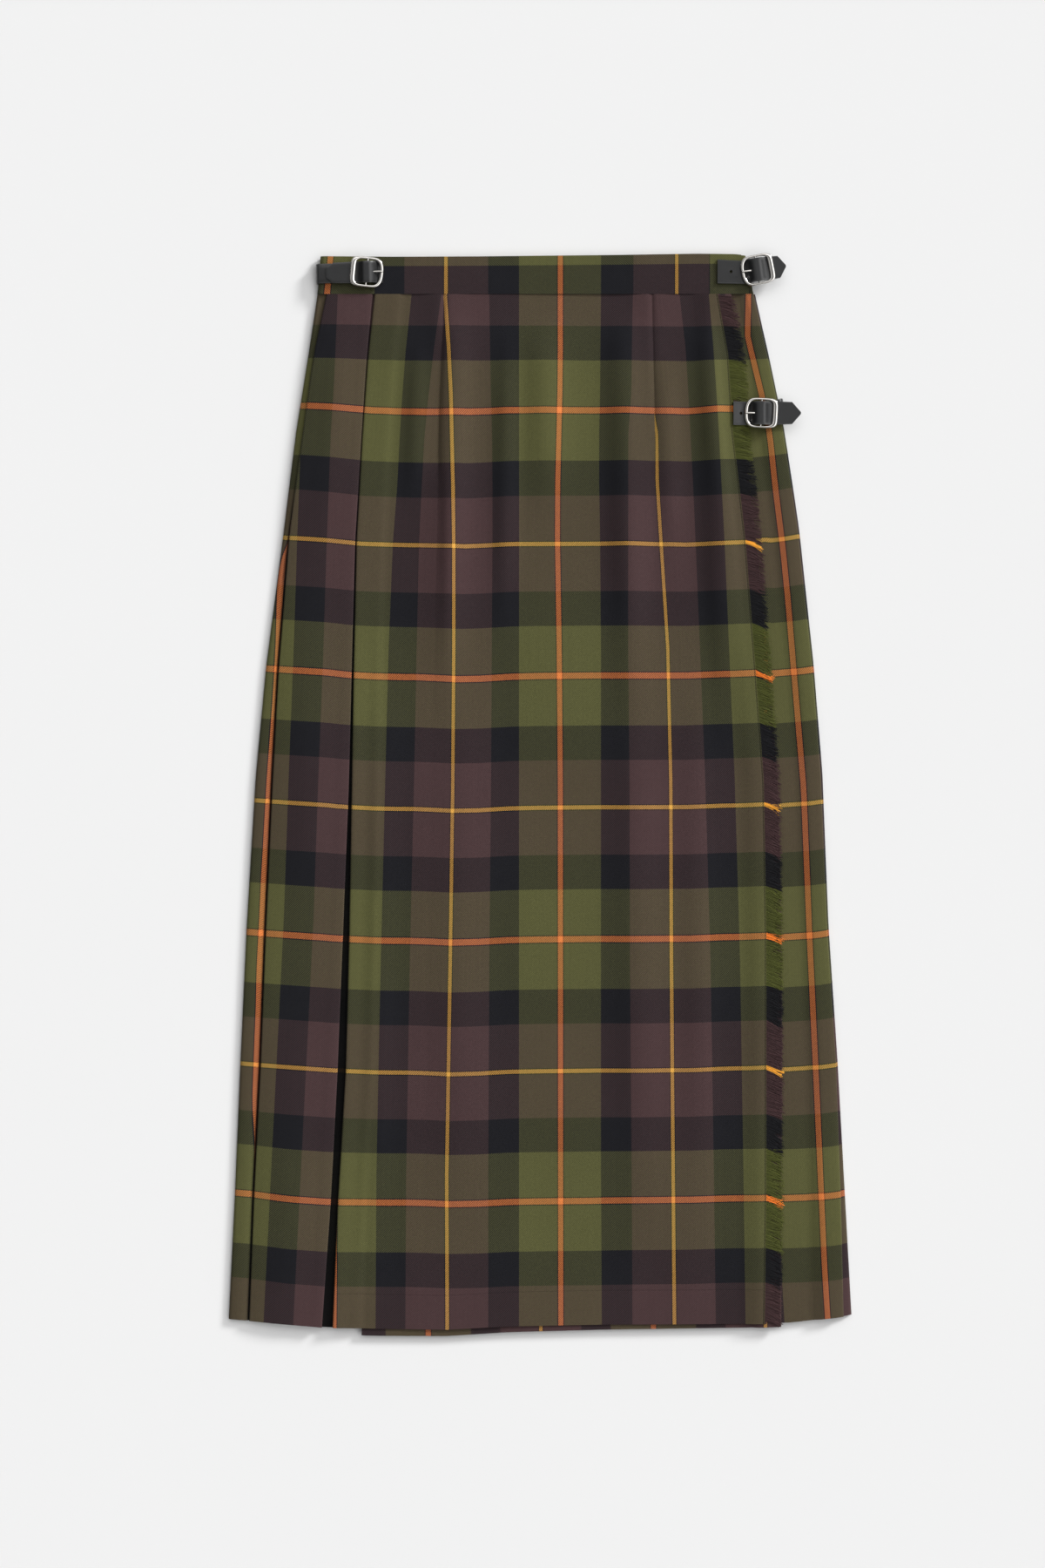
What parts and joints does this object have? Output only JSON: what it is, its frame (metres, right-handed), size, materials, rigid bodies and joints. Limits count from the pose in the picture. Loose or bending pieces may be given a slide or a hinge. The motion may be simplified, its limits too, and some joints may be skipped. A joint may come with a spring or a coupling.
{
  "type": "kilt skirt",
  "caption": "Long wrap-over kilt skirt in a checked wool, laid flat: fringed apron, pleated sides and back, waistband, leather straps and buckles.",
  "frame": {"origin": "centre of the bounding box in plan, at the underside", "axes": "+Y from the hem to the waist, +X across the front to the fringed edge, +Z out of the front"},
  "size_m": [0.5122, 0.8884, 0.0157],
  "materials": {
    "wool": "twill wool, matt",
    "wool_band": "twill wool, lined, matt",
    "wool_fringe": "loose wool threads",
    "leather": "black leather, soft sheen",
    "steel": "polished plated steel"
  },
  "bodies": {
    "root": {"pleated_cloth": "wool", "under_apron": "wool", "top_apron": "wool", "waistband": "wool_band", "apron_fringe": "wool_fringe", "left_strap": "leather", "left_tab": "leather", "left_buckle": "steel", "left_prong": "steel", "upper_right_strap": "leather", "upper_right_tab": "leather", "upper_right_buckle": "steel", "upper_right_prong": "steel", "hip_strap": "leather", "hip_tab": "leather", "hip_buckle": "steel", "hip_prong": "steel"}
  },
  "joints": []
}
